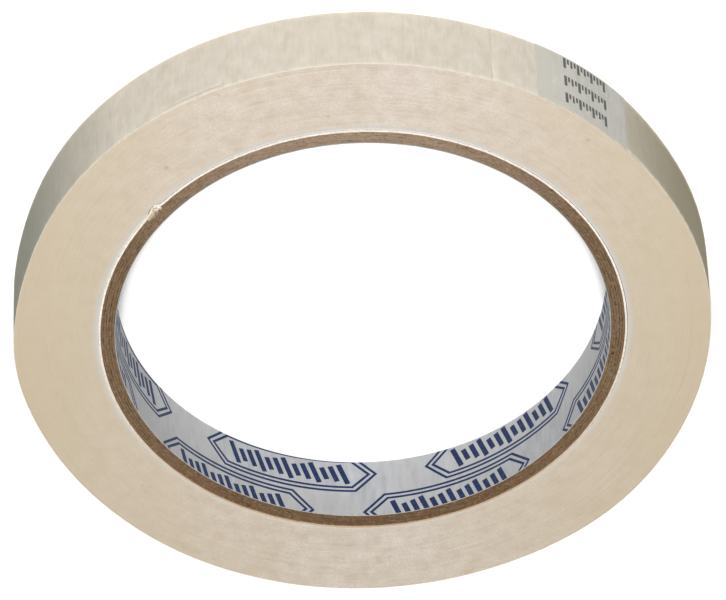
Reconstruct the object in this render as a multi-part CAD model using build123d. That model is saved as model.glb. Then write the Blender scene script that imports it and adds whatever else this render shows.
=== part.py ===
from build123d import *
import os

# A roll of masking tape, lying flat. The roll's axis is +Z, and the origin is the centre of
# the lower face of the tape. Lengths are in millimetres and angles in degrees,
# anticlockwise seen from above, from +X.

os.makedirs("parts", exist_ok=True)

ROLL_WIDTH = 12.4          # the tape and its core are slit to the same width

# The core: a spirally wound paper tube.
BORE_RADIUS = 38.10        # a 3 inch core
LINER_THICKNESS = 0.12     # printed paper that lines the bore
BOARD_THICKNESS = 0.405    # one chipboard ply
BOARD_PLIES = 5
WRAP_THICKNESS = 0.32      # white paper around the chipboard
GLUE_LINE = 0.02           # glue film between two plies, and under the first lap of tape
SEAM_SLOPE = 30.0          # how steeply each ply's butt seam climbs around the core
BOARD_SEAM_GAP = 0.30      # open gap along a chipboard seam
PAPER_SEAM_GAP = 0.12      # open gap along a liner or wrap seam
LINER_SEAM_ANGLE = 240.0   # where the liner's seam crosses the middle of the core
WRAP_SEAM_ANGLE = 303.0    # the same for the white wrap
SEAM_STAGGER = 137.5       # turn from one chipboard seam to the next one's

# The tape: one strip, wound from the core outwards, anticlockwise.
OUTER_RADIUS = 53.60
ADHESIVE_THICKNESS = 0.026
BACKING_THICKNESS = 0.068
LAP = ADHESIVE_THICKNESS + BACKING_THICKNESS
START_ANGLE = 321.0        # where the strip starts on the core

# The loose end of the strip, and the length label stuck on it.
PEEL_ANGLE = 213.0         # where the loose end leaves the winding
FREE_END_ANGLE = 247.0     # the cut end of the strip
PEEL_GAP = 0.04            # the loose end stands off the lap below by this much
ROOT_GAP = 0.06            # gap between the winding and the loose end, where it hinges
LABEL_START = 220.0
LABEL_END = 239.0
LABEL_THICKNESS = 0.05
LABEL_GLUE = 0.01

UNDER_LOOSE_END = OUTER_RADIUS - LAP
SEAM_CUT_DEPTH = 12.0      # radial depth of the slab that opens a seam
SEAM_CUT_LENGTH = 34.0     # longer than the seam is across the core's width


def polar(radius, angle):
    return Vector(radius, 0, 0).rotate(Axis.Z, angle)


def arc(radius, start, end):
    return ThreePointArc(polar(radius, start), polar(radius, (start + end) / 2), polar(radius, end))


def seam_cut(radius, angle, gap):
    """A thin slab that crosses one side of the core along a sloping line."""
    slab = Rot(X=SEAM_SLOPE) * Box(SEAM_CUT_DEPTH, SEAM_CUT_LENGTH, gap)
    return Rot(Z=angle) * Pos(radius, 0, ROLL_WIDTH / 2) * slab


def core_ply(inner_radius, thickness, seam_angle, gap):
    """One ply of the core: a ring whose two edges meet at a sloping butt seam."""
    section = Circle(inner_radius + thickness) - Circle(inner_radius)
    ring = extrude(section, ROLL_WIDTH)
    return ring - seam_cut(inner_radius, seam_angle, gap)


def spiral_face(radius, start):
    """The area inside one turn of a spiral, which ends one lap further out than it starts.

    The first half turn is an arc about the axis, and the second half turn is an arc
    half a lap larger, about a centre half a lap towards the start.
    """
    centre = polar(LAP / 2, start)
    begin = polar(radius, start)
    opposite = polar(-radius, start)
    finish = polar(radius + LAP, start)
    first_half = ThreePointArc(begin, polar(radius, start + 90), opposite)
    second_half = ThreePointArc(opposite, centre + polar(radius + LAP / 2, start - 90), finish)
    return make_face([first_half, second_half, Line(finish, begin)])


def tape_winding(inner_radius):
    """Every lap that stays on the roll, as one solid with a ledge at each end of the strip."""
    section = spiral_face(UNDER_LOOSE_END, PEEL_ANGLE) - spiral_face(inner_radius, START_ANGLE)
    return extrude(section, ROLL_WIDTH)


def curved_strip(inner_radius, thickness, start, end):
    """A strip of the tape's width that lies along the roll's outer wall."""
    outer_radius = inner_radius + thickness
    edges = [
        arc(inner_radius, start, end),
        Line(polar(inner_radius, end), polar(outer_radius, end)),
        arc(outer_radius, start, end),
        Line(polar(outer_radius, start), polar(inner_radius, start)),
    ]
    return extrude(make_face(edges), ROLL_WIDTH)


def build_core():
    """The plies from the bore outwards, and the radius of the finished core."""
    plies = {"core_liner": core_ply(BORE_RADIUS, LINER_THICKNESS, LINER_SEAM_ANGLE, PAPER_SEAM_GAP)}
    radius = BORE_RADIUS + LINER_THICKNESS + GLUE_LINE
    seam = LINER_SEAM_ANGLE
    for number in range(1, BOARD_PLIES + 1):
        seam = (seam + SEAM_STAGGER) % 360
        plies[f"core_board_{number}"] = core_ply(radius, BOARD_THICKNESS, seam, BOARD_SEAM_GAP)
        radius += BOARD_THICKNESS + GLUE_LINE
    plies["core_wrap"] = core_ply(radius, WRAP_THICKNESS, WRAP_SEAM_ANGLE, PAPER_SEAM_GAP)
    return plies, radius + WRAP_THICKNESS


def build_loose_end():
    """The peelable end: adhesive inside, crepe backing outside, and the label on top."""
    adhesive_radius = UNDER_LOOSE_END + PEEL_GAP
    backing_radius = adhesive_radius + ADHESIVE_THICKNESS
    label_radius = backing_radius + BACKING_THICKNESS + LABEL_GLUE
    root = PEEL_ANGLE + (Vector(backing_radius, 0, 0).get_angle(Vector(backing_radius, ROOT_GAP, 0)))
    return {
        "free_end_adhesive": curved_strip(adhesive_radius, ADHESIVE_THICKNESS, root, FREE_END_ANGLE),
        "free_end_backing": curved_strip(backing_radius, BACKING_THICKNESS, root, FREE_END_ANGLE),
        "length_label": curved_strip(label_radius, LABEL_THICKNESS, LABEL_START, LABEL_END),
    }


core, core_radius = build_core()
nodes = {**core, "tape_winding": tape_winding(core_radius + GLUE_LINE), **build_loose_end()}

for name, solid in nodes.items():
    solid.label = name
    export_step(solid, f"parts/{name}.step")
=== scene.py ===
import math

import bmesh
import bpy
import numpy as np
from mathutils import Matrix, Vector


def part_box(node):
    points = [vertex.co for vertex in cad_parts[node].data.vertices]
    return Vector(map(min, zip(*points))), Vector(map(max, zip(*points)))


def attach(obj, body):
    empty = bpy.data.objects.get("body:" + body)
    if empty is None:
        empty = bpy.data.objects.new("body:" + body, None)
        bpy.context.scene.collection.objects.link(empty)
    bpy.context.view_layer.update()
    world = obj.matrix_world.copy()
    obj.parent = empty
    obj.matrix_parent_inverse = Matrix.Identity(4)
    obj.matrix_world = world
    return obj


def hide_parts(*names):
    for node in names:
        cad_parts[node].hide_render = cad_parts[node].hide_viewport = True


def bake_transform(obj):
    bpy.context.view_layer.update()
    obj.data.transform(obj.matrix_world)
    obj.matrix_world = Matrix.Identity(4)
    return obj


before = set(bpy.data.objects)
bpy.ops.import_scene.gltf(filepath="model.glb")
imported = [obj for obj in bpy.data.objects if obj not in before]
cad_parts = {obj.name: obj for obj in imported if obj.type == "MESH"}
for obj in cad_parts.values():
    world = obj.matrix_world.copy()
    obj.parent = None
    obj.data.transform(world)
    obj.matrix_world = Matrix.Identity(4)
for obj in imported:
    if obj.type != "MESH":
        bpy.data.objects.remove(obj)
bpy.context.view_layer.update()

# A roll of masking tape that lies flat, around the CAD frame. Lengths are in millimetres and angles in
# degrees, anticlockwise from +X, where nothing else is said. Blender's own lengths are in metres.

MM = 0.001
SEED = 2417
BOARD_PLIES = 5
TYPED_WIDTH = 12.4  # heights typed in below are for this width, and are scaled to the frame's


# ---- sizes, from the frame

def node_points(node):
    """A CAD node's vertices, as radius, angle and height."""
    points = np.array([v.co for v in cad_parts[node].data.vertices], float) / MM
    radius = np.hypot(points[:, 0], points[:, 1])
    angle = np.degrees(np.arctan2(points[:, 1], points[:, 0])) % 360
    return radius, angle, points[:, 2]


def node_span(node):
    """Inner radius, outer radius, first angle and last angle of a CAD node."""
    radius, angle, _ = node_points(node)
    return radius.min(), radius.max(), angle.min(), angle.max()


low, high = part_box("tape_winding")
WIDTH = (high.z - low.z) / MM
LINER_IN, LINER_OUT, _, _ = node_span("core_liner")
WRAP_IN, WRAP_OUT, _, _ = node_span("core_wrap")
BOARDS = [node_span(f"core_board_{n}")[:2] for n in range(1, BOARD_PLIES + 1)]
ADHESIVE_IN, ADHESIVE_OUT, ROOT_ANGLE, END_ANGLE = node_span("free_end_adhesive")
BACKING_IN, BACKING_OUT, _, _ = node_span("free_end_backing")
LABEL_IN, LABEL_OUT, LABEL_FROM, LABEL_TO = node_span("length_label")
FILM = ADHESIVE_OUT - ADHESIVE_IN
TAPE = FILM + (BACKING_OUT - BACKING_IN)

# The winding's outer wall is furthest out at the ledge where the loose end leaves it, and its inner
# wall at the ledge where the strip starts on the core.
tape_radius, tape_angle, _ = node_points("tape_winding")
TAPE_IN, TAPE_OUT = tape_radius.min(), tape_radius.max()
PEEL = tape_angle[tape_radius.argmax()]
near_core = tape_radius < TAPE_IN + 1
START = tape_angle[near_core][tape_radius[near_core].argmax()]


# ---- numbers and meshes

def field(rng, shape, smooth):
    """Smooth random numbers that repeat at the array's ends, with a spread of 1."""
    values = np.fft.fftn(rng.standard_normal(shape))
    for axis, (count, width) in enumerate(zip(shape, smooth)):
        frequency = np.fft.fftfreq(count)
        falloff = np.exp(-2 * (math.pi * frequency * width) ** 2)
        values *= falloff.reshape([-1 if a == axis else 1 for a in range(len(shape))])
    values = np.real(np.fft.ifftn(values))
    return (values - values.mean()) / values.std()


def ease(value, start, end):
    """A smooth step, from 0 at the start to 1 at the end."""
    t = np.clip((value - start) / (end - start), 0, 1)
    return t * t * (3 - 2 * t)


def polar(radius, angle, height):
    """Points from radius, angle and height."""
    turn = np.radians(angle)
    return np.stack(np.broadcast_arrays(radius * np.cos(turn), radius * np.sin(turn), height), -1)


def unrolled(angle, radius, height, third):
    """A rolled sheet's points when it is flat. The third number only moves the pattern."""
    return np.stack(np.broadcast_arrays(np.radians(angle) * radius, height, third), -1)


def past(angle, middle):
    """How far an angle is past another, from -180 to 180."""
    return (angle - middle + 180) % 360 - 180


def grid_quads(index):
    """Quads over a grid of vertex numbers."""
    corners = (index[:-1, :-1], index[1:, :-1], index[1:, 1:], index[:-1, 1:])
    return np.stack(corners, -1).reshape(-1, 4)


def row_quads(a, b):
    """Quads between two matching rows of vertex numbers."""
    return grid_quads(np.stack([a, b], 1))


def tube_faces(rings, sides):
    """Faces of a closed tube whose vertices are listed ring by ring."""
    index = np.arange(rings * sides).reshape(rings, sides)
    loop = np.concatenate([index, index[:, :1]], 1)
    return [*grid_quads(loop), index[0], index[-1][::-1]]


def add_object(name, data):
    """A new object in the scene."""
    made = bpy.data.objects.new(name, data)
    bpy.context.scene.collection.objects.link(made)
    return made


def make_piece(name, points, faces, material, body, replaces, sharp, along=None, pale=None):
    """A mesh piece that rides on a body, or on none.

    Edges that bend by more than sharp degrees look sharp. along is each point's place on the flat
    sheet, and pale is how much it is whitened.
    """
    mesh = bpy.data.meshes.new(name)
    points = points.reshape(-1, 3)
    mesh.from_pydata((points * MM).tolist(), [], [list(map(int, f)) for f in faces])
    mesh.validate()
    mesh.update()
    for key, kind, field_name, values in (("rest", "FLOAT_VECTOR", "vector", points),
                                          ("along", "FLOAT_VECTOR", "vector", along),
                                          ("pale", "FLOAT", "value", pale)):
        if values is not None:
            stored = mesh.attributes.new(key, kind, "POINT")
            stored.data.foreach_set(field_name, values.astype(np.float32).ravel())
    mesh.shade_smooth()
    mesh.set_sharp_from_angle(angle=math.radians(sharp))
    mesh.materials.append(material)
    piece = add_object(name, mesh)
    if body:
        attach(piece, body)
    if replaces:
        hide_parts(*replaces)
    return piece


def make_sheet(name, inner, outer, along, material, body, replaces, sharp, pale=None):
    """A closed sheet between two grids of points. along and pale are grids too."""
    rows, columns = inner.shape[:2]
    count = rows * columns
    inside = np.arange(count).reshape(rows, columns)
    outside = inside + count
    quads = [grid_quads(outside), grid_quads(inside)[:, ::-1]]
    for a, b in ((inside[:, 0], outside[:, 0]), (outside[:, -1], inside[:, -1]),
                 (outside[0], inside[0]), (inside[-1], outside[-1])):
        quads.append(row_quads(a, b))
    points, along = np.stack([inner, outer]), np.stack([along, along])
    pale = None if pale is None else np.stack([pale, pale])
    return make_piece(name, points, np.concatenate(quads), material, body, replaces, sharp, along, pale)


# Where the wound tape stands out of a true circle: angle, how far it spreads, and how high.
SWELLS = [(4, 12, 0.40), (38, 14, -0.15), (90, 55, 0.24), (135, 19, 0.52), (208, 9, -0.16),
          (231, 8, 0.10), (298, 26, 0.15), (343, 16, -0.36)]


def round_off(angle):
    """The outer wall's small departure from a true circle at an angle."""
    return sum(height * np.exp(-((past(angle, middle) / spread) ** 2)) for middle, spread, height in SWELLS)


# ---- materials

class Look:
    """Builds one material's node tree. Its colour is laid down layer by layer."""

    def __init__(self, name):
        self.material = bpy.data.materials.new(name)
        self.material.use_nodes = True
        self.tree = self.material.node_tree
        self.shader = self.tree.nodes["Principled BSDF"].inputs
        self.colour = None

    def put(self, socket, value):
        """Links another node's output to a socket, or sets the socket's own value."""
        if isinstance(value, bpy.types.NodeSocket):
            self.tree.links.new(value, socket)
        elif isinstance(value, tuple) and len(value) == 3 and len(socket.default_value) == 4:
            socket.default_value = (*value, 1)
        else:
            socket.default_value = value

    def node(self, kind, **inputs):
        """A new node, with some of its inputs linked or set."""
        made = self.tree.nodes.new(kind)
        for key, value in inputs.items():
            self.put(made.inputs[key], value)
        return made

    def attribute(self, name, output):
        """One of the mesh's stored attributes."""
        source = self.node("ShaderNodeAttribute")
        source.attribute_name = name
        return source.outputs[output]

    def place(self, attribute="rest", scale=(1, 1, 1)):
        """A point's place on the piece at rest, or on its flat sheet, times a scale."""
        scaled = self.node("ShaderNodeVectorMath")
        scaled.operation = "MULTIPLY"
        self.put(scaled.inputs[0], self.attribute(attribute, "Vector"))
        self.put(scaled.inputs[1], scale)
        return scaled.outputs["Vector"]

    def part(self, axis, attribute="rest"):
        """One coordinate of a point's place."""
        return self.node("ShaderNodeSeparateXYZ", Vector=self.place(attribute)).outputs[axis]

    def sideways(self):
        """How far a point is from the middle of the roll, to its -X or +X side."""
        return self.maths("ABSOLUTE", self.part("X"))

    def noise(self, scale, detail, roughness, place=None, distortion=0.0):
        """Cloudy noise, mostly between 0.3 and 0.7."""
        made = self.node("ShaderNodeTexNoise", Vector=place or self.place(), Scale=scale, Detail=detail,
                         Roughness=roughness, Distortion=distortion)
        return made.outputs["Fac"]

    def specks(self, scale, place=None):
        """How far the nearest of many scattered specks is."""
        made = self.node("ShaderNodeTexVoronoi", Vector=place or self.place(), Scale=scale)
        return made.outputs["Distance"]

    def maths(self, operation, a, b=0.0):
        """A sum of two values, or of one."""
        made = self.node("ShaderNodeMath")
        made.operation = operation
        self.put(made.inputs[0], a)
        self.put(made.inputs[1], b)
        return made.outputs["Value"]

    def plus(self, a, b, share):
        """One texture, with a share of another added."""
        return self.maths("ADD", a, self.maths("MULTIPLY", b, share))

    def span(self, value, low, high, to_low, to_high):
        """A value between low and high, moved to between to_low and to_high, and kept there."""
        inputs = {"Value": value, "From Min": low, "From Max": high, "To Min": to_low, "To Max": to_high}
        return self.node("ShaderNodeMapRange", **inputs).outputs["Result"]

    def ramp(self, value, places, colours):
        """The first layer of colour: it changes with a value, through some colours at some places."""
        made = self.node("ShaderNodeValToRGB", Fac=value)
        elements = made.color_ramp.elements
        while len(elements) < len(places):
            elements.new(0.5)
        for element, place, colour in zip(elements, places, colours):
            element.position = place
            element.color = (*colour, 1)
        self.colour = made.outputs["Color"]

    def shade(self, amount, colour, how="MIX"):
        """An amount of another colour over the colour so far."""
        made = self.node("ShaderNodeMix")
        made.data_type = "RGBA"
        made.blend_type = how
        self.put(made.inputs["Factor"], amount)
        below, above = [s for s in made.inputs if s.type == "RGBA"]
        self.put(below, self.colour)
        self.put(above, colour)
        self.colour = [s for s in made.outputs if s.type == "RGBA"][0]

    def tone(self, value, none, most, amount, colour):
        """Another colour: nothing of it at one value, and an amount of it at another."""
        self.shade(self.span(value, none, most, 0.0, amount), colour)

    def bump(self, height, distance, strength):
        """Fine relief that stands out by up to a distance, in metres."""
        made = self.node("ShaderNodeBump", Strength=strength, Distance=distance, Height=height)
        self.put(self.shader["Normal"], made.outputs["Normal"])

    def finish(self, texture, smoothest, roughest, gloss):
        """The material. Its roughness follows a texture, and gloss is its specular level."""
        self.put(self.shader["Base Color"], self.colour)
        self.put(self.shader["Roughness"], self.span(texture, 0.3, 0.7, smoothest, roughest))
        self.put(self.shader["Specular IOR Level"], gloss)
        return self.material


def tint(red, green, blue):
    """An sRGB colour, 0 to 255, as linear values."""
    return tuple(c / 12.92 if c <= 0.04045 else ((c + 0.055) / 1.055) ** 2.4
                 for c in (red / 255, green / 255, blue / 255))


FACE_STRETCH = 1.6  # how much the slit face's map is stretched across the laps

FACE = tint(213, 205, 197)
FACE_PALE = tint(223, 216, 210)
FACE_DEEP = tint(202, 190, 177)
FACE_WARM_AND_SIDE_SHADE = tint(204, 192, 171)
FACE_FAR_SHADE = (0.87, 0.87, 0.855)
GROOVE_SHADE_GREY = tint(200, 203, 203)
RIM_HIGHLIGHT_WHITE = tint(242, 238, 233)
FLECK = tint(158, 136, 112)
CREPE_BASE = tint(204, 198, 188)
CREPE_PALE = tint(213, 208, 199)
CREPE_DEEP = tint(194, 187, 173)
CREPE_FRAY_AND_HIGHLIGHT = tint(222, 217, 204)
CREPE_SHADE = tint(154, 147, 124)
CREPE_SHADE_PLUS_X = tint(144, 147, 136)
BOARD_TINTS = (tint(108, 86, 66), tint(136, 114, 92), tint(151, 130, 108), tint(178, 157, 133))
BOARD_DRAB = tint(114, 99, 76)
BOARD_RED = tint(142, 106, 86)
BOARD_TAN = tint(136, 110, 84)
BOARD_NEAR_SHEEN = tint(180, 165, 150)
BOARD_FAR_SHADE = tint(100, 82, 62)
BOARD_SIDE_LIGHT = tint(141, 124, 102)
BOARD_CHIP = tint(196, 178, 152)
BOARD_DOT = tint(84, 63, 47)
WRAP_TINTS = (tint(222, 215, 207), tint(237, 232, 226), tint(247, 244, 240))
WRAP_CLOUD = tint(226, 214, 198)
WRAP_FAR_SHADE = tint(194, 173, 147)
LINER_TINTS = (tint(165, 167, 171), tint(180, 182, 186), tint(190, 192, 195))
LINER_CLOUD = tint(184, 183, 181)
LINER_PULP = tint(170, 172, 178)
GLUE_TINTS = (tint(190, 171, 134), tint(205, 188, 154), tint(217, 203, 174))
GLUE_CLOUD = tint(199, 181, 146)
LABEL_TINTS = (tint(181, 181, 176), tint(190, 190, 186), tint(197, 197, 195))
LABEL_CLOUD = tint(188, 186, 178)
LABEL_FRONT_LIGHT = tint(201, 199, 191)
TORN_TINTS = (tint(190, 168, 136), tint(220, 206, 184), tint(242, 236, 226))
FIBRE_TINTS = (tint(96, 70, 50), tint(150, 122, 94), tint(196, 174, 146))
NAVY_TINTS = (tint(20, 38, 76), tint(30, 56, 102), tint(80, 102, 138))
GREY_TINTS = (tint(86, 88, 88), tint(110, 111, 109), tint(152, 151, 144))


def tape_face_look():
    """The slit edges of the laps: cream and mottled, with short streaks along the laps."""
    look = Look("tape_face")
    streaks = look.noise(1.0, 5, 0.65, look.place("along"))
    grain = look.noise(2.6, 4, 0.7)
    blotches = look.noise(0.42, 4, 0.6)
    look.ramp(blotches, (0.28, 0.5, 0.72), (FACE_DEEP, FACE, FACE_PALE))
    look.tone(streaks, 0.36, 0.64, 0.48, FACE_PALE)
    look.tone(grain, 0.46, 0.66, 0.62, FACE_DEEP)
    look.tone(look.noise(0.07, 2, 0.5), 0.35, 0.65, 0.25, FACE_WARM_AND_SIDE_SHADE)
    # Painted shade: the face turns darker and warmer towards its -X and +X sides.
    look.tone(look.sideways(), 8, 52, 0.85, FACE_WARM_AND_SIDE_SHADE)
    # Painted shade: the face darkens towards its far, +Y side.
    look.shade(look.span(look.part("Y"), -50, 50, 0.0, 1.0), FACE_FAR_SHADE, "MULTIPLY")
    # Painted shade: a grey halo beside the core, in its groove. Painted highlight: near the camera, a white
    # rim inside it.
    for reach, most, fade, colour in ((1.1, 0.8, (0, 38, 1.0, 0.35), GROOVE_SHADE_GREY),
                                      (0.34, 0.85, (-38, -8, 1.0, 0.15), RIM_HIGHLIGHT_WHITE)):
        inner, outer = TAPE_IN * FACE_STRETCH, (TAPE_IN + reach) * FACE_STRETCH
        beside_core = look.span(look.part("Z", "along"), inner, outer, most, 0.0)
        look.shade(look.maths("MULTIPLY", beside_core, look.span(look.part("Y"), *fade)), colour)
    look.tone(look.plus(look.specks(0.17), grain, 0.05), 0.10, 0.045, 0.34, FLECK)
    look.bump(look.plus(streaks, grain, 0.7), 0.00005, 0.6)
    return look.finish(blotches, 0.78, 0.92, 0.25)


def crepe_look():
    """The tape's outside: creped paper with fine ridges across the tape."""
    look = Look("crepe_backing")
    ridges = look.noise(2.6, 5, 0.65, look.place("along", (1, 0.09, 1)), 0.3)
    pulp = look.noise(0.55, 4, 0.6, look.place("along", (1, 0.6, 1)))
    cloud = look.noise(0.12, 3, 0.5, look.place("along"))
    look.ramp(pulp, (0.30, 0.5, 0.70), (CREPE_DEEP, CREPE_BASE, CREPE_PALE))
    look.tone(ridges, 0.42, 0.66, 0.42, CREPE_PALE)
    look.tone(ridges, 0.48, 0.34, 0.42, CREPE_DEEP)
    look.shade(look.span(cloud, 0.3, 0.7, 0.1, 0.5), CREPE_BASE)
    # Painted shade: the wall darkens towards its -X and +X ends, where it turns away from the light.
    look.tone(look.part("X"), 36, 51, 0.8, CREPE_SHADE_PLUS_X)
    look.tone(look.part("X"), -34, -49, 0.8, CREPE_SHADE)
    # Whitened edges and cut end: partly paler frayed fibres, partly a painted highlight.
    look.shade(look.attribute("pale", "Fac"), CREPE_FRAY_AND_HIGHLIGHT)
    look.bump(look.plus(ridges, look.noise(5.5, 3, 0.7, look.place("along")), 0.3), 0.00008, 0.6)
    return look.finish(ridges, 0.72, 0.86, 0.3)


def chipboard_look():
    """Grey-brown recycled board, cut across its plies."""
    look = Look("chipboard")
    fibres = look.noise(1.3, 6, 0.72, look.place("along", (1.6, 1.6, 1.9)))
    pulp = look.noise(1.1, 5, 0.7)
    look.ramp(fibres, (0.32, 0.46, 0.56, 0.72), BOARD_TINTS)
    look.tone(pulp, 0.45, 0.65, 0.55, BOARD_DRAB)
    look.tone(look.noise(0.55, 4, 0.6), 0.50, 0.66, 0.55, BOARD_RED)
    look.tone(look.noise(0.2, 3, 0.5), 0.35, 0.65, 0.3, BOARD_TAN)
    # Painted sheen: the cut edge is lighter near the camera. Painted shade: it is darker on the far side.
    look.tone(look.part("Y"), -17, -41, 0.62, BOARD_NEAR_SHEEN)
    look.tone(look.part("Y"), 14, 40, 0.42, BOARD_FAR_SHADE)
    # Painted light: the cut edge turns lighter and greyer towards the -X and +X sides.
    look.tone(look.sideways(), 18, 38, 0.42, BOARD_SIDE_LIGHT)
    look.tone(look.specks(1.7), 0.22, 0.07, 0.36, BOARD_CHIP)
    look.tone(look.specks(1.25, look.place("rest", (1, 1, 1.3))), 0.20, 0.10, 0.42, BOARD_DOT)
    look.bump(look.maths("ADD", fibres, pulp), 0.00016, 0.8)
    return look.finish(pulp, 0.82, 0.95, 0.15)


def white_paper_look():
    """The core's white wrap, warmer in the shade on the far side of the bore."""
    look = Look("white_wrap")
    pulp = look.noise(1.8, 5, 0.65)
    look.ramp(pulp, (0.3, 0.5, 0.7), WRAP_TINTS)
    look.tone(look.noise(0.3, 3, 0.5), 0.45, 0.75, 0.4, WRAP_CLOUD)
    # Painted shade: warmer and darker on the far side of the bore.
    look.tone(look.part("Y"), -6, 34, 0.92, WRAP_FAR_SHADE)
    look.bump(pulp, 0.00010, 0.7)
    return look.finish(pulp, 0.75, 0.9, 0.25)


def fibre_look(name, tints):
    """Loose paper fibres, each a little different from the next."""
    look = Look(name)
    grain = look.noise(7.0, 3, 0.6)
    look.ramp(look.noise(1.7, 3, 0.6), (0.36, 0.50, 0.64), tints)
    look.tone(grain, 0.4, 0.7, 0.4, tints[-1])
    look.bump(grain, 0.00003, 0.5)
    return look.finish(grain, 0.8, 0.95, 0.15)


def liner_look():
    """Coated pale blue-grey paper, with faint streaks across the tube."""
    look = Look("printed_liner")
    flat = look.place("along")
    streaks = look.noise(0.9, 5, 0.65, look.place("along", (1, 0.22, 1)))
    pulp = look.noise(3.2, 4, 0.65, flat)
    look.ramp(streaks, (0.28, 0.5, 0.72), LINER_TINTS)
    look.tone(look.noise(0.10, 3, 0.5, flat), 0.35, 0.65, 0.5, LINER_CLOUD)
    look.tone(pulp, 0.55, 0.8, 0.3, LINER_PULP)
    look.bump(look.plus(streaks, pulp, 0.5), 0.00005, 0.6)
    return look.finish(streaks, 0.42, 0.6, 0.45)


def ink_look(name, tints, smoothest):
    """Printing ink, a little uneven where the paper took less of it."""
    look = Look(name)
    fine = look.noise(9.0, 2, 0.6)
    look.ramp(look.noise(2.4, 5, 0.7), (0.34, 0.56, 0.78), tints)
    look.bump(fine, 0.00002, 0.5)
    return look.finish(fine, smoothest, smoothest + 0.12, 0.4)


def adhesive_look():
    """Tacky natural-rubber adhesive: amber, glossy, slightly rippled."""
    look = Look("adhesive")
    ripples = look.noise(1.4, 4, 0.6, look.place("along", (1, 0.15, 1)))
    cloud = look.noise(0.25, 3, 0.5, look.place("along"))
    look.ramp(ripples, (0.3, 0.5, 0.7), GLUE_TINTS)
    look.tone(cloud, 0.35, 0.65, 0.5, GLUE_CLOUD)
    look.bump(ripples, 0.00008, 0.8)
    return look.finish(cloud, 0.22, 0.38, 0.5)


def label_look():
    """Thin whitish label paper that lets a little of the tape's cream through."""
    look = Look("label_paper")
    ridges = look.noise(2.2, 4, 0.6, look.place("along", (1, 0.12, 1)))
    cloud = look.noise(0.5, 4, 0.6, look.place("along"))
    look.ramp(ridges, (0.3, 0.5, 0.7), LABEL_TINTS)
    look.tone(cloud, 0.35, 0.65, 0.5, LABEL_CLOUD)
    # Painted light: the label turns lighter towards the roll's front, where the wall faces the light.
    look.tone(look.part("X"), -37, -29, 0.5, LABEL_FRONT_LIGHT)
    look.bump(ridges, 0.00005, 0.6)
    return look.finish(cloud, 0.5, 0.65, 0.4)


def floor_look():
    """A nearly white floor, so that the photo's backdrop stays white."""
    look = Look("pale_floor")
    cloud = look.noise(6.0, 4, 0.5, look.node("ShaderNodeTexCoord").outputs["Object"])
    look.ramp(cloud, (0.3, 0.7), ((0.94, 0.94, 0.94), (0.96, 0.96, 0.96)))
    return look.finish(cloud, 0.8, 0.9, 0.1)


TAPE_FACE = tape_face_look()
CREPE = crepe_look()
CHIPBOARD = chipboard_look()
WHITE_PAPER = white_paper_look()
TORN_PAPER = fibre_look("torn_paper", TORN_TINTS)
BOARD_FIBRE = fibre_look("board_fibre", FIBRE_TINTS)
LINER_PAPER = liner_look()
NAVY = ink_look("navy_ink", NAVY_TINTS, 0.42)
GREY_INK = ink_look("grey_ink", GREY_TINTS, 0.55)
ADHESIVE = adhesive_look()
LABEL_PAPER = label_look()
FLOOR = floor_look()


# ---- the core

SEAM_SLOPE = math.radians(30)
SEAM_REACH = 60  # the mesh leans along with a seam up to this many degrees from it

BOARD_STEPS = 1400
BOARD_COLUMNS = 7  # rows of vertices across a ply's cut edge
BOARD_LEVELS = 13
BOARD_CORNER = 0.06
BOARD_ROUGHNESS = 0.045
BOARD_CEILING = 0.03
MAP_RADIUS = 40.0  # the core's map is laid out on a circle of this size


def seam_of(node):
    """The angle where a ply's sloping butt seam crosses the middle of the core, and its gap."""
    radius, angle, height = node_points(node)
    at_top = np.abs(height - WIDTH) < 0.01
    on_inside = radius < radius.min() + 0.02
    ends = np.unique(np.round(angle[at_top & on_inside], 3))
    gaps = np.diff(np.append(ends, ends[0] + 360))
    # Two neighbouring vertices are much closer across the seam than anywhere else.
    narrow = gaps.argmin()
    crossing = ends[narrow] + gaps[narrow] / 2
    return crossing - math.degrees(WIDTH / 2 / math.tan(SEAM_SLOPE) / radius.min()), gaps[narrow]


def spread_around(steps, seam, gap, height, radius):
    """Angles from one side of a sloping seam all round to its other side."""
    turned = np.linspace(0, 1, steps)[:, None] * (360 - gap)
    near_seam = 1 - ease(np.minimum(turned, 360 - gap - turned), 0, SEAM_REACH)
    climbed = np.degrees((height - WIDTH / 2) / math.tan(SEAM_SLOPE) / radius)
    return seam + climbed * near_seam + gap / 2 + turned


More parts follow.
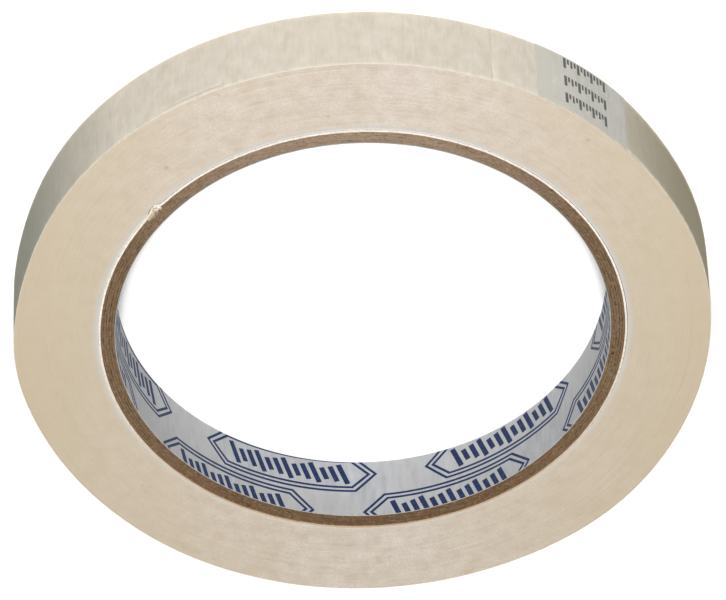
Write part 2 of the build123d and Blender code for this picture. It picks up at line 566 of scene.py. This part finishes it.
def board_ply(number, inner, outer, rng):
    """A chipboard ply: a swept section with rounded, fibrous cut edges and an open sloping seam."""
    node = f"core_board_{number}"
    seam, gap = seam_of(node)
    across = np.linspace(0, 1, BOARD_COLUMNS)
    edge_r = inner + (outer - inner) * across
    drop = BOARD_CORNER * (np.abs(2 * across - 1) ** 4)
    heights = np.linspace(WIDTH, 0, BOARD_LEVELS)[1:-1]
    side = np.ones(len(heights))
    section_r = np.concatenate([edge_r, outer * side, edge_r[::-1], inner * side])
    section_z = np.concatenate([WIDTH - drop, heights, drop[::-1], heights[::-1]])
    shape = (BOARD_STEPS, len(section_r))
    edges = (BOARD_STEPS, 2 * BOARD_COLUMNS)
    rough = 0.6 * field(rng, edges, (5, 0.8)) + 0.8 * field(rng, edges, (1.0, 0.6))
    rough = rough * BOARD_ROUGHNESS
    cut = np.zeros(shape)
    under = BOARD_COLUMNS + len(heights)
    cut[:, :BOARD_COLUMNS] = rough[:, :BOARD_COLUMNS] - BOARD_ROUGHNESS
    cut[:, under:under + BOARD_COLUMNS] = BOARD_ROUGHNESS - rough[:, BOARD_COLUMNS:]
    radius = np.broadcast_to(section_r, shape)
    height = np.clip(section_z + cut, 0.0, WIDTH + BOARD_CEILING)
    angle = spread_around(BOARD_STEPS, seam, gap, height, radius)
    points = polar(radius, angle, height)
    faces = [f[::-1] for f in tube_faces(*shape)]
    make_piece(f"board_ply_{number}", points, faces, CHIPBOARD, "roll", [node], 40.0,
               polar(MAP_RADIUS, angle, radius + height * 0.35))


NICK_ANGLE = 318.4
NICK_DEPTH = 0.56
NICK_OPENS = 0.7  # degrees over which the nick opens, going round the roll
NICK_CLOSES = 2.8


def nick(angle):
    """The torn place in the core's rim: it opens sharply and closes slowly."""
    away = past(angle, NICK_ANGLE)
    return np.exp(-((away / np.where(away < 0, NICK_OPENS, NICK_CLOSES)) ** 2))


WRAP_STEPS = 1900
WRAP_LEVELS = np.append(np.linspace(0, 11.4, 20), (11.9, 12.15, 12.28, 12.36, 12.4)) / TYPED_WIDTH
WRAP_RISE = 0.035  # how far the wrap stands up from the core's face
WRAP_CEILING = 0.12
RIM_REACH = 0.16  # how far down from its cut edge the wrap is disturbed


def build_wrap(rng):
    """The white wrap. Its cut edge is fuzzy, flares a little, and stands out where it is torn."""
    seam, gap = seam_of("core_wrap")
    level = WRAP_LEVELS[None, :] * WIDTH
    around = (WRAP_STEPS, 1)
    fuzz = field(rng, around, (1.5, 0)) * 0.022 + field(rng, around, (9, 0)) * 0.018
    angle = spread_around(WRAP_STEPS, seam, gap, level, WRAP_IN)
    tear = nick(angle)
    rim = np.exp(-(WIDTH - level) / RIM_REACH)
    rise = (WRAP_RISE + fuzz) * rim + tear * 0.05 * field(rng, around, (1.0, 0)) * rim
    height = np.clip(level + rise - 0.02 * np.exp(-level / 0.2), 0.0, WIDTH + WRAP_CEILING)
    kick = NICK_DEPTH * tear * ease(level, WIDTH / 2, WIDTH)
    flare = (0.010 + 0.008 * field(rng, around, (4.0, 0))) * rim
    inner = polar(WRAP_IN + kick, angle, height)
    outer = polar(WRAP_OUT + kick + flare, angle, height)
    along = unrolled(angle, WRAP_IN, height, WRAP_IN)
    make_sheet("white_wrap", inner, outer, along, WHITE_PAPER, "roll", ["core_wrap"], 50.0)


FIBRE_SIDES = 5
FIBRE_STATIONS = 7  # rings of vertices along a fibre
TUFT_FIBRES = 190


def strand(start, angle, scatter, lengths, widths, rng):
    """One paper fibre: a thin closed tube that tapers at both ends and curls a little.

    It runs round the roll at an angle, give or take a scatter.
    """
    heading = math.radians(angle + 90) + rng.normal(0, scatter)
    length = rng.uniform(*lengths)
    width = rng.uniform(*widths)
    tilt = rng.normal(0, 0.10)
    line = [start]
    for _ in range(FIBRE_STATIONS - 1):
        heading += rng.normal(0, 0.30)
        tilt += rng.normal(0, 0.12)
        step = np.array([math.cos(heading), math.sin(heading), tilt])
        line.append(line[-1] + step * length / (FIBRE_STATIONS - 1))
    line = np.array(line)
    forward = np.gradient(line, axis=0)
    forward /= np.linalg.norm(forward, axis=1)[:, None]
    side = np.cross(forward, (0, 0, 1))
    side /= np.linalg.norm(side, axis=1)[:, None]
    lift = np.cross(side, forward)
    turn = np.linspace(0, 2 * math.pi, FIBRE_SIDES, endpoint=False)
    taper = np.interp(np.arange(FIBRE_STATIONS), (0, 1.5, FIBRE_STATIONS - 1), (0.45, 1.0, 0.25))
    size = width / 2 * taper
    ring = side[:, None] * np.cos(turn)[:, None] + lift[:, None] * (0.6 * np.sin(turn))[:, None]
    return line[:, None] + ring * size[:, None, None]


def fibre_mesh(name, strands, material):
    """Many fibres in one piece."""
    one = tube_faces(FIBRE_STATIONS, FIBRE_SIDES)
    faces = [face + k * FIBRE_STATIONS * FIBRE_SIDES for k in range(len(strands)) for face in one]
    points = np.concatenate([s.reshape(-1, 3) for s in strands])
    make_piece(name, points, faces, material, "roll", (), 60.0)


def build_fibres():
    """The torn tuft in the rim's nick, and the fuzz on the core's cut edge."""
    rng = np.random.default_rng(SEED + 20)
    tuft = []
    for _ in range(TUFT_FIBRES):
        angle = NICK_ANGLE - 0.8 + 4.4 * rng.random() ** 1.2
        reach = (NICK_DEPTH + 0.06) * float(nick(np.array(angle)))
        radius = WRAP_IN - 0.10 + (0.14 + reach) * rng.random()
        height = WIDTH - 0.03 + 0.10 * rng.random()
        tuft.append(strand(polar(radius, angle, height), angle, 0.7, (0.25, 0.75), (0.05, 0.13), rng))
    fibre_mesh("torn_tuft", tuft, TORN_PAPER)
    for name, count, inner, outer, longest, material, slot in (
            ("wrap_fuzz", 420, WRAP_IN, WRAP_OUT, 0.42, WHITE_PAPER, "white_wrap"),
            ("board_fuzz", 700, BOARDS[0][0] + 0.05, BOARDS[-1][1], 0.60, BOARD_FIBRE, "chipboard")):
        fuzz = []
        for _ in range(count):
            angle = rng.uniform(0, 360)
            start = polar(rng.uniform(inner, outer), angle, WIDTH - 0.045 + 0.03 * rng.random())
            fuzz.append(strand(start, angle, 0.8, (0.15, longest), (0.03, 0.07), rng))
        fibre_mesh(name, fuzz, material)


LINER_STEPS = 900
LINER_LEVELS = np.concatenate([[0, 0.06], np.linspace(0.3, 12.1, 24), [12.34, 12.4]]) / TYPED_WIDTH


def build_liner():
    """The paper that lines the bore, with its print."""
    seam, gap = seam_of("core_liner")
    level = LINER_LEVELS[None, :] * WIDTH
    angle = spread_around(LINER_STEPS, seam, gap, level, LINER_IN)
    make_sheet("liner_sheet", polar(LINER_IN, angle, level), polar(LINER_OUT, angle, level),
               unrolled(angle, LINER_IN, level, 3.0), LINER_PAPER, "roll", ["core_liner"],
               50.0)
    print_liner(seam, gap)


# The liner's pattern, unrolled: s along the bore from +X, z up from the lower face.

FRAME_LENGTH = 28.8
FRAME_HEIGHT = 8.1
FRAME_POINT = 3.4
FRAME_PITCH = 36.4
FRAMES_IN_ROW = 10
FRAME_ROWS = ((-4.0 - 2 * FRAME_PITCH, -0.45), (22.3 - 3 * FRAME_PITCH, 8.35))  # where each row starts
LINE = 0.42
LINE_GAP = 0.88
ROW_TILT = -0.0127
BARS = 13
BAR_WIDTH = 0.84
BAR_LEAN = 0.32
BAR_MARGIN = 5.4
BAR_HEIGHTS = (4.4, 2.6, 3.4)
INK = 0.012  # half the ink's thickness
INK_SINK = 0.003
PRINT_MARGIN = 0.03
LINE_STEP = 0.4  # ink is cut into pieces this long, so that it can follow the bore


def offset_corners(corners, distance, closed):
    """A polyline's corners moved sideways by a distance, with mitred joints."""
    corners = np.array(corners, float)
    if closed:
        before, after = np.roll(corners, 1, 0), np.roll(corners, -1, 0)
    else:
        before = np.vstack([2 * corners[0] - corners[1], corners[:-1]])
        after = np.vstack([corners[1:], 2 * corners[-1] - corners[-2]])
    normals = []
    for line in (corners - before, after - corners):
        line = line / np.linalg.norm(line, axis=1)[:, None]
        normals.append(np.stack([-line[:, 1], line[:, 0]], 1))
    mitre = normals[0] + normals[1]
    mitre /= (mitre * normals[0]).sum(1)[:, None]
    return corners + mitre * distance


def ribbon(corners, width, closed):
    """A line of ink as two matching rows of points, and whether its ends meet."""
    left = offset_corners(corners, width / 2, closed)
    right = offset_corners(corners, -width / 2, closed)
    if closed:
        left, right = np.vstack([left, left[:1]]), np.vstack([right, right[:1]])
    rows = []
    for a, b, c, d in zip(left, left[1:], right, right[1:]):
        count = max(1, int(np.linalg.norm(b - a) / LINE_STEP))
        t = np.arange(count)[:, None] / count
        rows.append(np.stack([a + t * (b - a), c + t * (d - c)], 1))
    rows.append(np.stack([left[-1:], right[-1:]], 1))
    return np.vstack(rows), closed


def frame_corners(s, z, inset):
    """A long frame with pointed ends, drawn inside itself by an inset."""
    tip = inset * 1.25
    side = FRAME_POINT + inset * 0.55
    middle, bottom, top = z + FRAME_HEIGHT / 2, z + inset, z + FRAME_HEIGHT - inset
    end = s + FRAME_LENGTH
    return [(s + tip, middle), (s + side, bottom), (end - side, bottom),
            (end - tip, middle), (end - side, top), (s + side, top)]


def bar_corners(s, z, place, tall):
    """One bold slanted bar of the row inside a frame."""
    middle, lean = z + FRAME_HEIGHT / 2, BAR_LEAN * tall
    return [(s + place - lean / 2, middle - tall / 2), (s + place + lean / 2, middle + tall / 2)]


def flat_pattern():
    """Every ribbon of the pattern, in the unrolled liner's plane."""
    ribbons = []
    for row_start, z in FRAME_ROWS:
        for k in range(FRAMES_IN_ROW):
            s = row_start + k * FRAME_PITCH
            for inset in (LINE / 2, LINE / 2 + LINE_GAP):
                ribbons.append(ribbon(frame_corners(s, z, inset), LINE, True))
            for n, place in enumerate(np.linspace(BAR_MARGIN, FRAME_LENGTH - BAR_MARGIN, BARS)):
                bar = bar_corners(s, z, place, BAR_HEIGHTS[n % len(BAR_HEIGHTS)])
                ribbons.append(ribbon(bar, BAR_WIDTH, False))
    return ribbons


def print_liner(seam, gap):
    """The pattern as thin ink on the liner, cut off at the rims and the seam."""
    flat = bmesh.new()
    for rows, closed in flat_pattern():
        rows[..., 1] += ROW_TILT * rows[..., 0]
        if closed:
            rows = rows[:-1]
        left = [flat.verts.new((*p, 0)) for p in rows[:, 0]]
        right = [flat.verts.new((*p, 0)) for p in rows[:, 1]]
        for k in range(len(rows) if closed else len(rows) - 1):
            after = (k + 1) % len(rows)
            flat.faces.new((left[k], left[after], right[after], right[k]))
    scale = math.pi / 180 * LINER_IN
    first = (seam - 360 + gap / 2) * scale + PRINT_MARGIN
    last = (seam - gap / 2) * scale - PRINT_MARGIN
    lean = 1 / math.tan(SEAM_SLOPE)
    planes = [((0, PRINT_MARGIN), (0, -1)), ((0, WIDTH - PRINT_MARGIN), (0, 1)),
              ((first, WIDTH / 2), (-1, lean)), ((last, WIDTH / 2), (1, -lean))]
    for place, normal in planes:
        parts = flat.verts[:] + flat.edges[:] + flat.faces[:]
        bmesh.ops.bisect_plane(flat, geom=parts, dist=1e-5, plane_co=(*place, 0),
                               plane_no=Vector((*normal, 0)).normalized(), clear_outer=True)

    def on_bore(s, z, side):
        """Points of the unrolled print on the bore, a little inside or outside its surface."""
        return polar(LINER_IN + INK_SINK - side * INK, np.degrees(s / LINER_IN), z)

    points, faces = thicken(flat, on_bore)
    flat.free()
    make_piece("liner_print", points, faces, NAVY, "roll", (), 50.0)


def thicken(flat, wrap):
    """A flat bmesh as a thin solid on a surface: its points and faces.

    wrap takes s, z and a side, 1 or -1. Faces look outwards where side 1 is nearer to the axis.
    """
    bmesh.ops.dissolve_degenerate(flat, dist=1e-6, edges=flat.edges[:])
    flat.verts.ensure_lookup_table()
    flat.verts.index_update()
    count = len(flat.verts)
    place = np.array([v.co[:2] for v in flat.verts])
    points = np.concatenate([wrap(place[:, 0], place[:, 1], side) for side in (1.0, -1.0)])
    faces = []
    for f in flat.faces:
        up = f.normal.z > 0
        ids = [v.index for v in f.verts]
        ids = ids[::-1] if up else ids
        faces.append(ids)
        faces.append([i + count for i in ids[::-1]])
        for loop in f.loops:
            if loop.edge.is_boundary:
                a, b = loop.vert.index, loop.link_loop_next.vert.index
                a, b = (a, b) if up else (b, a)
                faces.append([a, b, b + count, a + count])
    return points, faces


def build_core():
    """The chipboard plies, the white wrap, the liner, and the loose fibres on the cut edges."""
    rng = np.random.default_rng(SEED)
    for number, (inner, outer) in enumerate(BOARDS, 1):
        board_ply(number, inner, outer, rng)
    build_wrap(rng)
    build_liner()
    build_fibres()


# ---- the winding

LAP_STEPS = 340
TO_PEEL = int(round(((PEEL - START) % 360) / 360 * LAP_STEPS))
WALL_AT_START = TAPE_OUT - TAPE + TAPE * ((START - PEEL) % 360) / 360
LAPS = int(round((WALL_AT_START - TAPE_IN) / TAPE))
PITCH = (WALL_AT_START - TAPE_IN) / LAPS

GROOVE_WIDTH = 0.34  # the slit face dips beside the core
GROOVE_DEPTH = 0.02
FACE_DROP = 0.055  # the slit face lies this much lower than the CAD's
LAP_DIP = 0.007  # how deep the line between two laps is
NICK_REACH = 1.3  # how far out the nick pushes the laps
FACE_MIDDLE = 47
STREAK_LENGTH = 9  # streaks run this far round the roll for each millimetre across

# Laps that stray sideways for part of a turn: radius, first angle, last angle, height.
STRAY_LAPS = [(52.3, 262, 303, -0.035), (51.0, 276, 312, -0.025), (47.6, 60, 118, 0.018),
              (49.9, 75, 140, -0.025), (44.2, 85, 130, -0.018), (51.8, 20, 74, 0.03),
              (46.1, 200, 238, -0.03), (50.6, 148, 196, -0.035), (43.1, 300, 352, -0.025),
              (52.6, 98, 131, -0.025), (48.8, 232, 262, 0.025)]


def lap_radius(turns):
    """Radius of the winding's spiral after a number of turns from the start of the strip."""
    return TAPE_IN + PITCH * turns


def stray_laps(turns):
    """How far the strip's edge strays after a number of turns."""
    stray = np.zeros(len(turns))
    for radius, first_angle, last_angle, rise in STRAY_LAPS:
        begin = round((radius - TAPE_IN) / PITCH) + ((first_angle - START) % 360) / 360
        end = begin + (last_angle - first_angle) / 360
        stray = stray + rise * ease(turns, begin, begin + 0.02) * (1 - ease(turns, end - 0.02, end))
    return stray


def slit_face(radius, angle, raised, upwards):
    """Points of the slit face, where the strip's edge is raised above the face's usual height."""
    depth = GROOVE_DEPTH * (1 - ease(radius - TAPE_IN, 0.08, GROOVE_WIDTH))
    depth = depth * (0.75 + 0.25 * np.cos(np.radians(angle) * 3 + 1.0))
    z = WIDTH - FACE_DROP + raised - depth
    built_up = np.clip((radius - TAPE_IN) / (TAPE_OUT - TAPE_IN), 0, 1) ** 1.2
    r = radius + built_up * round_off(angle)
    r = r + (NICK_DEPTH + 0.04) * nick(angle) * np.exp(-(radius - TAPE_IN) / NICK_REACH)
    return polar(r, angle, z if upwards else WIDTH - z)


def lap_stack(name, seed, upwards, replaces):
    """Half the winding's height, with the slit edge of every lap on its face.

    The strip's edge is a row of vertices along each side of a lap and one along its middle, so the
    mesh is one spiral ribbon. Neighbouring laps share the row between them.
    """
    rng = np.random.default_rng(seed)
    length = int(round((LAPS - 2 + TO_PEEL / LAP_STEPS) * LAP_STEPS))
    count = length + LAP_STEPS + 1
    groove_turn = np.arange(count) / LAP_STEPS
    crest_turn = np.arange(length + 1) / LAP_STEPS
    lap_wander = field(rng, (count,), (LAP_STEPS * 0.10,)) * 0.0045
    wander = field(rng, (count,), (4.0,)) * 0.004 + field(rng, (count,), (0.8,)) * 0.003
    groove_r = lap_radius(groove_turn)
    crest_r = (lap_radius(crest_turn) + lap_radius(crest_turn + 1)) / 2
    bands = field(rng, (90,), (1.6,)) * 0.006
    band = np.interp(groove_r, np.linspace(TAPE_IN, TAPE_OUT, len(bands)), bands)
    crest_z = (lap_wander + wander)[:length + 1] + band[:length + 1] + stray_laps(crest_turn)
    # A groove is just lower than the lower of the laps beside it. The first and last have one lap.
    beside = np.full((2, count), np.inf)
    beside[0, :length + 1] = crest_z
    beside[1, LAP_STEPS:] = crest_z
    groove_z = beside.min(0) - LAP_DIP
    grooves = slit_face(groove_r, START + groove_turn * 360, groove_z, upwards)
    crests = slit_face(crest_r, START + crest_turn * 360, crest_z, upwards)
    grooves_id = np.arange(count)
    crests_id = np.arange(length + 1) + count
    faces = [*row_quads(grooves_id[:length + 1], crests_id), *row_quads(crests_id, grooves_id[LAP_STEPS:])]

    # The inner and outer walls run from the face's two borders down to the middle of the roll.
    points = np.concatenate([grooves, crests])
    walls = []
    for loop in ([*grooves_id[:LAP_STEPS + 1], crests_id[0]], [*grooves_id[length:], crests_id[-1]]):
        new = np.arange(len(points), len(points) + len(loop))
        copy = points[loop].copy()
        copy[:, 2] = WIDTH / 2
        points = np.concatenate([points, copy])
        walls.append((np.append(loop, loop[0]), np.append(new, new[0]), new))
    (top_in, bottom_in, new_in), (top_out, bottom_out, new_out) = walls
    faces += [*row_quads(bottom_in, top_in), *row_quads(top_out, bottom_out)]
    n = LAP_STEPS
    for k in range(n):
        # The outer wall starts at the peel angle, TO_PEEL steps round from the inner wall's start.
        j = (k - TO_PEEL) % n
        face = [new_in[k], new_in[k + 1], new_out[j + 1], new_out[j]]
        if k == 0:
            face = [*face, new_in[n], new_in[n + 1]]
        if j == n - 1:
            face = [new_in[k], new_in[k + 1], new_out[0], new_out[n + 1], new_out[n], new_out[n - 1]]
        faces.append(face[::-1])
    if upwards:
        faces = [f[::-1] for f in faces]
    radius = np.hypot(points[:, 0], points[:, 1])
    turn = np.degrees(np.arctan2(points[:, 1], points[:, 0]))
    along = polar(FACE_MIDDLE / STREAK_LENGTH, turn, radius * FACE_STRETCH)
    make_piece(name, points, faces, TAPE_FACE, "roll", replaces, 50.0, along)


WALL_STEP = 0.112  # between two rows of vertices along the strip
WALL_LEVELS = np.array([0, 0.03, 0.10, 0.25, 0.7, 1.6, 2.8, 4.2, 5.6, 7.0, 8.4, 9.6, 10.4, 11.1, 11.3,
                        11.42, 11.55, 11.85, 12.28, 12.36, 12.4]) / TYPED_WIDTH
SPLIT = 277.0  # degrees from the peel line to where the outer lap's mesh ends
CREPE_RELIEF = 0.014
EDGE_WEAR = 0.030


def crease(angle, level):
    """Depth of a small crease that runs round the outer wall, just below its upper edge."""
    middle = 11.42 + 0.45 * ease(angle, 299, 309)
    fade = 1 - 0.6 * ease(angle, 297.5, 301) - 0.4 * ease(angle, 308, 316)
    return 0.20 * ease(angle, 290.5, 293) * fade * np.exp(-((level - middle) / 0.12) ** 2)


def build_strip():
    """The outermost lap and the loose end: one strip, as two meshes that meet.

    Returned are the loose end, its adhesive, and the strip's angle, outer radius, height and turn from
    the peel line.
    """
    rng = np.random.default_rng(SEED + 7)
    total = 360 + (END_ANGLE - PEEL)
    rows = int(round(math.radians(total) * TAPE_OUT / WALL_STEP)) + 1
    split = int(round(rows * SPLIT / total))
    turned = np.linspace(0, total, rows)
    angle = (PEEL + turned)[:, None]
    level = WALL_LEVELS[None, :] * WIDTH
    shape = (rows, level.size)
    crepe = 0.6 * field(rng, shape, (1.5, 1.6)) + 0.55 * field(rng, shape, (3.2, 2.2))
    swell = field(rng, shape, (60, 5)) * 0.02
    edge = np.minimum(level, WIDTH - level)
    fade = ease(edge, 0.0, 0.6) * 0.75 + 0.25
    relief = crepe * CREPE_RELIEF * fade + swell * fade
    worn = EDGE_WEAR * np.exp(-edge / 0.05)
    spiral = lap_radius(LAPS - 1 + TO_PEEL / LAP_STEPS + turned / 360)[:, None]
    lift = (BACKING_OUT - TAPE_OUT) * ease(turned, 360 + 1.5, 360 + 7.0)[:, None]
    outer_r = spiral + relief - worn - crease(angle, level) + round_off(angle) + lift
    thick = TAPE - FILM * ease(turned, 360 + 0.2, 360 + 3)[:, None]
    inner_r = spiral - thick + round_off(angle) + lift
    wander = (field(rng, (rows,), (300,)) * 0.02 + field(rng, (rows,), (40,)) * 0.012)[:, None]
    fuzz = field(rng, (rows, 2), (1.2, 0.01)) * 0.012
    top_fray = fuzz[:, :1] * np.exp(-(WIDTH - level) / 0.12)
    foot_fray = np.abs(fuzz[:, 1:]) * np.exp(-level / 0.12)
    height = 0.005 + level * (1 + (wander - 0.035) / WIDTH) + top_fray + foot_fray
    ragged = np.zeros(shape)
    ragged[-1] = field(rng, (level.size,), (1.0,)) * 0.06
    inner = polar(inner_r, angle + ragged, height)
    outer = polar(outer_r, angle + ragged, height)
    along = unrolled(angle, TAPE_OUT, height, 7.0)
    # pale: the wall's upper and lower edges and the loose end's cut end are whitened, partly as paler
    # frayed fibres, partly as a painted highlight.
    to_end = np.radians(total - turned)[:, None] * TAPE_OUT
    at_end = 0.40 * np.exp(-to_end / 0.25) + 0.24 * np.exp(-(to_end / 1.2) ** 2)
    pale = 0.85 * np.exp(-edge / 0.32) + at_end
    pale = np.clip(pale + 0.10 * field(rng, shape, (3, 3)) * (pale > 0.1), 0, 1)

    lap, end = slice(0, split + 1), slice(split, rows)
    make_sheet("outer_lap", inner[lap], outer[lap], along[lap], CREPE, "roll", (), 60.0,
               pale[lap])
    loose = make_sheet("loose_end", inner[end], outer[end], along[end], CREPE, None,
                       ["free_end_backing"], 60.0, pale[end])

    # The adhesive is a little shorter and narrower than the strip, and has half as many rows.
    first = int(np.searchsorted(turned, 360 + ROOT_ANGLE - PEEL + 0.05))
    film = (slice(first, rows - 3, 2), slice(2, -2))
    film_r, film_angle, film_height = inner_r[film[0]], (angle + ragged)[film], height[film]
    glue = make_sheet("adhesive_film", polar(film_r - FILM, film_angle, film_height),
                      polar(film_r + 0.002, film_angle, film_height), along[film], ADHESIVE, None,
                      ["free_end_adhesive"], 60.0)
    return loose, glue, angle, outer_r, height, turned


TICK_ROWS = ((1.55, 225.1, 233.4), (5.75, 225.1, 233.4), (9.75, 225.2, 233.4))  # height, first and last
TICKS = 13
TICK_FOOT = 1.15  # how far below its row's height a tick starts
TICK_CUTS = 5


def tick_size(number):
    """Width and height of one of the ruler's ticks."""
    if number % 4 == 0:
        return 0.46, 2.3
    return 0.34, 1.6 if number % 2 == 0 else 1.1


def flat_ticks():
    """Every tick on the label, unrolled."""
    marks = bmesh.new()
    scale = math.radians(1) * LABEL_OUT
    for row_z, row_from, row_to in TICK_ROWS:
        for number, place in enumerate(np.linspace(row_from, row_to, TICKS)):
            wide, tall = tick_size(number)
            left, right = place * scale - wide / 2, place * scale + wide / 2
            bottom = row_z - TICK_FOOT
            corners = [(left, bottom), (right, bottom), (right, bottom + tall), (left, bottom + tall)]
            marks.faces.new([marks.verts.new((*c, 0)) for c in corners])
    bmesh.ops.subdivide_edges(marks, edges=marks.edges[:], cuts=TICK_CUTS, use_grid_fill=True)
    marks.normal_update()
    return marks


def build_label(angle, strip_r, height, turned):
    """The label on the loose end, which follows the strip below it, and the label's marks."""
    here = (turned >= 360 + LABEL_FROM - PEEL) & (turned <= 360 + LABEL_TO - PEEL)
    below = strip_r[here]
    smoothed = below.mean(1, keepdims=True) * 0.55 + below * 0.45
    gap = LABEL_IN - BACKING_OUT
    outer_r = np.maximum(smoothed, below) + gap + (LABEL_OUT - LABEL_IN)
    at = np.broadcast_to(angle[here], below.shape)
    level = height[here]
    make_sheet("label_sheet", polar(below + gap * 0.6, at, level), polar(outer_r, at, level),
               unrolled(at, LABEL_OUT, level, 2.0), LABEL_PAPER, "free_end",
               ["length_label"], 60.0)
    rows_at = angle[here][:, 0] % 360
    levels_at = level.mean(0)

    def on_label(s, z, side):
        """Points of the unrolled label's surface, a little outside or inside it."""
        row = np.interp(np.degrees(s / LABEL_OUT), rows_at, np.arange(len(rows_at)))
        column = np.interp(z, levels_at, np.arange(len(levels_at)))
        i = np.clip(row.astype(int), 0, len(rows_at) - 2)
        j = np.clip(column.astype(int), 0, len(levels_at) - 2)
        u, v = row - i, column - j
        surface = ((1 - u) * (1 - v) * outer_r[i, j] + u * (1 - v) * outer_r[i + 1, j]
                   + (1 - u) * v * outer_r[i, j + 1] + u * v * outer_r[i + 1, j + 1])
        return polar(surface + 0.010 + side * 0.014, np.degrees(s / LABEL_OUT), z)

    marks = flat_ticks()
    points, faces = thicken(marks, on_label)
    marks.free()
    make_piece("label_marks", points, [f[::-1] for f in faces], GREY_INK, "free_end", (), 50.0)


def build_tape():
    """The laps, the outer lap, the label, and the loose end."""
    lap_stack("tape_laps_upper", SEED + 1, True, ["tape_winding"])
    lap_stack("tape_laps_lower", SEED + 2, False, ())
    loose, glue, *strip = build_strip()
    build_label(*strip)
    hinge = polar(BACKING_OUT, ROOT_ANGLE, WIDTH / 2) * MM
    past = polar(BACKING_OUT, LABEL_FROM - 0.6, WIDTH / 2) * MM
    for piece in (loose, glue):
        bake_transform(piece)


build_core()
build_tape()


# ---- floor, camera and light

FLOOR_HALF = 2.5  # metres
FLOOR_CELLS = 24
FLOOR_GAP = 0.00002

CAMERA_ELEVATION = math.radians(48.674)
CAMERA_DISTANCE = 1.2602  # metres, from the middle of the roll's upper face
CAMERA_ROLL = math.radians(-2.275)
CAMERA_LENS = 406.2
CAMERA_SENSOR = 36.0
AIM_ABOVE = 0.00508  # metres, up the picture from the middle of the upper face

KEY_ABOVE_CAMERA = math.radians(4.7)
WORLD_FILL = 0.16
DISPLAY_GAMMA = 0.8


def build_floor():
    """A wide floor just under the roll."""
    mesh = bpy.data.meshes.new("floor")
    shape = bmesh.new()
    bmesh.ops.create_grid(shape, x_segments=FLOOR_CELLS, y_segments=FLOOR_CELLS, size=FLOOR_HALF)
    shape.to_mesh(mesh)
    shape.free()
    mesh.materials.append(FLOOR)
    floor = add_object("floor", mesh)
    floor.location.z = low.z - FLOOR_GAP


def build_camera():
    """The photo's camera: above the roll on its -Y side, and upside down, with +X on its left."""
    data = bpy.data.cameras.new("camera")
    data.sensor_width = CAMERA_SENSOR
    data.lens = CAMERA_LENS
    data.clip_start = 0.05
    data.clip_end = 20
    camera = add_object("camera", data)
    flat, rise = math.cos(CAMERA_ELEVATION), math.sin(CAMERA_ELEVATION)
    back = Vector((0, -flat, rise))
    cosine = math.cos(CAMERA_ROLL)
    up = Vector((math.sin(CAMERA_ROLL), -rise * cosine, -flat * cosine))
    face_centre = Vector((0, 0, high.z))
    place = face_centre + back * CAMERA_DISTANCE
    toward = (face_centre + up * AIM_ABOVE - place).normalized()
    right = toward.cross(up).normalized()
    up = right.cross(toward)
    turned = Matrix((right, up, -toward)).transposed().to_4x4()
    camera.matrix_world = Matrix.Translation(place) @ turned
    bpy.context.scene.camera = camera


def sun(name, azimuth, elevation, strength, spread, colour):
    """A distant soft light. Azimuth is measured from +X, and spread is how wide the light looks."""
    data = bpy.data.lights.new(name, "SUN")
    data.energy = strength
    data.angle = spread
    data.color = colour
    light = add_object(name, data)
    flat = math.cos(elevation)
    toward = -Vector((flat * math.cos(azimuth), flat * math.sin(azimuth), math.sin(elevation)))
    light.rotation_mode = "QUATERNION"
    light.rotation_quaternion = toward.to_track_quat("-Z", "Y")


def build_world():
    """A pale backdrop, which lights the object much less than it shows."""
    world = bpy.data.worlds.new("studio")
    world.use_nodes = True
    nodes, links = world.node_tree.nodes, world.node_tree.links
    fill = nodes["Background"]
    backdrop = nodes.new("ShaderNodeBackground")
    for background, strength in ((fill, WORLD_FILL), (backdrop, 1.0)):
        background.inputs["Color"].default_value = (1, 1, 1, 1)
        background.inputs["Strength"].default_value = strength
    seen = nodes.new("ShaderNodeLightPath")
    choose = nodes.new("ShaderNodeMixShader")
    links.new(seen.outputs["Is Camera Ray"], choose.inputs["Fac"])
    links.new(fill.outputs["Background"], choose.inputs[1])
    links.new(backdrop.outputs["Background"], choose.inputs[2])
    links.new(choose.outputs["Shader"], nodes["World Output"].inputs["Surface"])
    bpy.context.scene.world = world


def build_lights():
    """A soft key light just above the camera, a wide fill from behind, and the backdrop."""
    sun("key", azimuth=math.radians(-90), elevation=CAMERA_ELEVATION + KEY_ABOVE_CAMERA, strength=3.24,
        spread=math.radians(9), colour=(1.0, 0.985, 0.965))
    sun("back_fill", azimuth=math.radians(78), elevation=math.radians(50), strength=0.85,
        spread=math.radians(70), colour=(1.0, 0.98, 0.95))
    build_world()
    settings = bpy.context.scene.view_settings
    settings.view_transform = "Standard"
    settings.look = "None"
    settings.gamma = DISPLAY_GAMMA


build_floor()
build_camera()
build_lights()
